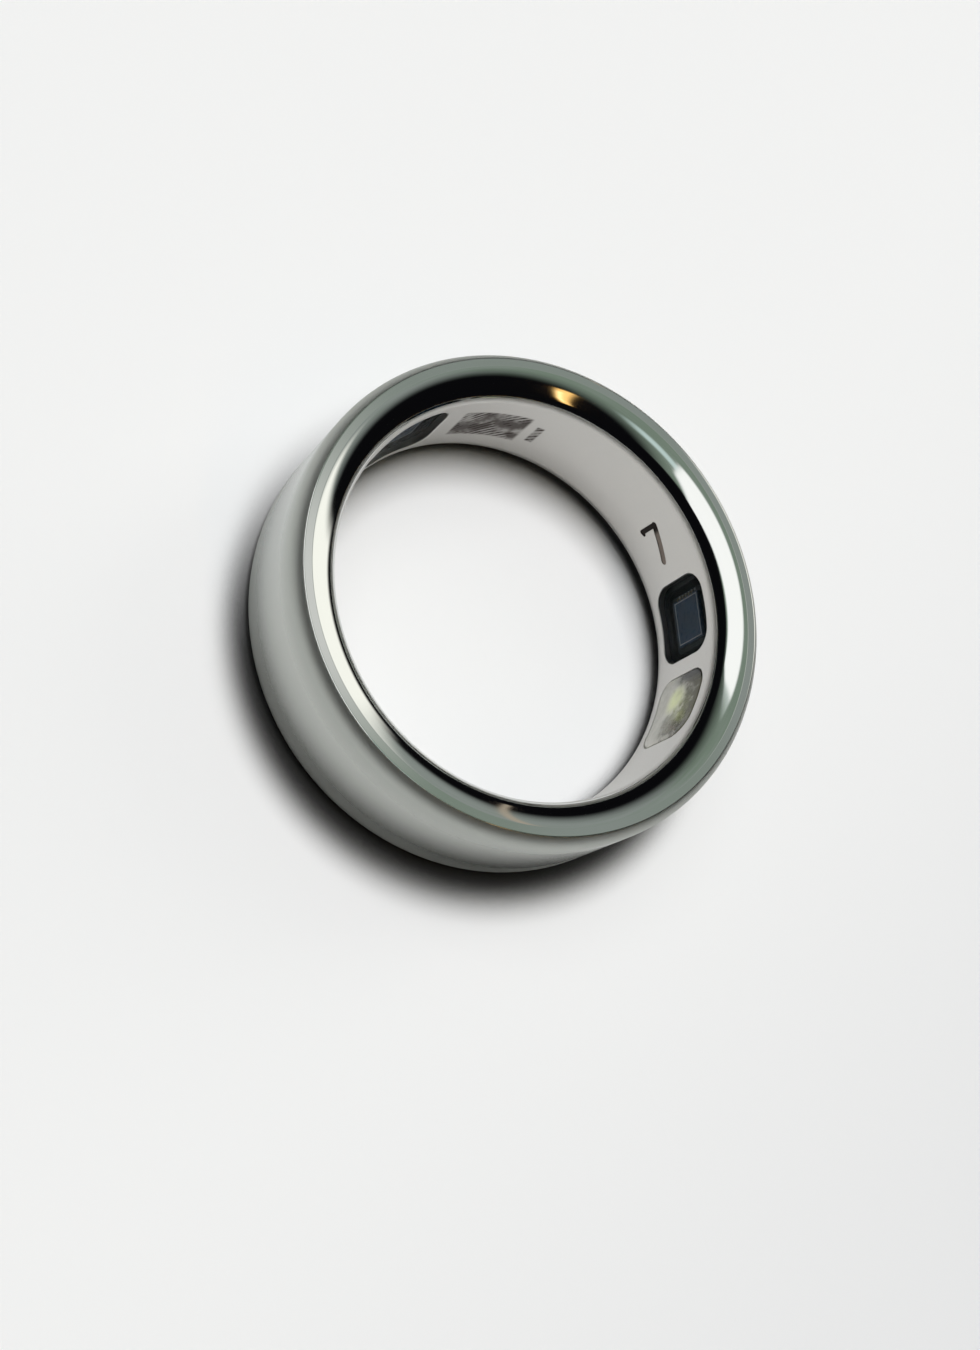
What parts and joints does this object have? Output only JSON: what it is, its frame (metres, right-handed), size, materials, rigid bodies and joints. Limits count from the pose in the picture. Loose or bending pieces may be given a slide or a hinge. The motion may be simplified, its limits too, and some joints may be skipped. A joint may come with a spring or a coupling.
{
  "type": "smart ring",
  "caption": "Metal finger ring with a satin outer wall, polished rims and a windowed inner liner over its battery, circuit and light sensors.",
  "frame": {"origin": "centre of the finger bore, half way along its width", "axes": "+Z along the finger bore, towards one rim; -Y towards the palm side, where the light window lies"},
  "size_m": [0.0214, 0.0214, 0.0064],
  "materials": {
    "outer_shell": "satin",
    "inner_liner": "matte",
    "upper_seal": "matte",
    "lower_seal": "matte",
    "light_window": "gloss",
    "dark_window_a": "gloss",
    "dark_window_b": "gloss",
    "dark_window_c": "gloss",
    "light_barrier_led": "matte",
    "light_barrier_a": "matte",
    "light_barrier_b": "matte",
    "light_barrier_c": "matte",
    "led_carrier": "gloss",
    "green_led": "gloss",
    "red_led": "gloss",
    "infrared_led": "gloss",
    "detector_carrier_a": "satin",
    "detector_carrier_b": "satin",
    "detector_carrier_c": "satin",
    "detector_a": "gloss",
    "detector_b": "gloss",
    "detector_c": "gloss",
    "flex_circuit": "satin",
    "flex_film": "satin",
    "optical_front_end": "satin",
    "microcontroller": "satin",
    "crystal": "satin",
    "flash_memory": "satin",
    "motion_sensor": "satin",
    "power_manager": "satin",
    "power_inductor": "satin",
    "capacitors": "satin",
    "resistors": "satin",
    "temperature_sensor_a": "satin",
    "temperature_sensor_b": "satin",
    "thermal_pads": "matte",
    "antenna": "satin",
    "charging_coil": "satin",
    "coil_film": "satin",
    "ferrite_sheet": "matte",
    "coil_leads": "satin",
    "battery_cell": "satin",
    "battery_terrace": "satin",
    "battery_tabs": "satin",
    "battery_film": "satin",
    "potting_resin": "gloss"
  },
  "bodies": {
    "root": {"outer_shell": "outer_shell", "inner_liner": "inner_liner", "upper_seal": "upper_seal", "lower_seal": "lower_seal", "light_window": "light_window", "dark_window_a": "dark_window_a", "dark_window_b": "dark_window_b", "dark_window_c": "dark_window_c", "light_barrier_led": "light_barrier_led", "light_barrier_a": "light_barrier_a", "light_barrier_b": "light_barrier_b", "light_barrier_c": "light_barrier_c", "led_carrier": "led_carrier", "green_led": "green_led", "red_led": "red_led", "infrared_led": "infrared_led", "detector_carrier_a": "detector_carrier_a", "detector_carrier_b": "detector_carrier_b", "detector_carrier_c": "detector_carrier_c", "detector_a": "detector_a", "detector_b": "detector_b", "detector_c": "detector_c", "flex_circuit": "flex_circuit", "flex_film": "flex_film", "optical_front_end": "optical_front_end", "microcontroller": "microcontroller", "crystal": "crystal", "flash_memory": "flash_memory", "motion_sensor": "motion_sensor", "power_manager": "power_manager", "power_inductor": "power_inductor", "capacitors": "capacitors", "resistors": "resistors", "temperature_sensor_a": "temperature_sensor_a", "temperature_sensor_b": "temperature_sensor_b", "thermal_pads": "thermal_pads", "antenna": "antenna", "charging_coil": "charging_coil", "coil_film": "coil_film", "ferrite_sheet": "ferrite_sheet", "coil_leads": "coil_leads", "battery_cell": "battery_cell", "battery_terrace": "battery_terrace", "battery_tabs": "battery_tabs", "battery_film": "battery_film", "potting_resin": "potting_resin"}
  },
  "joints": []
}
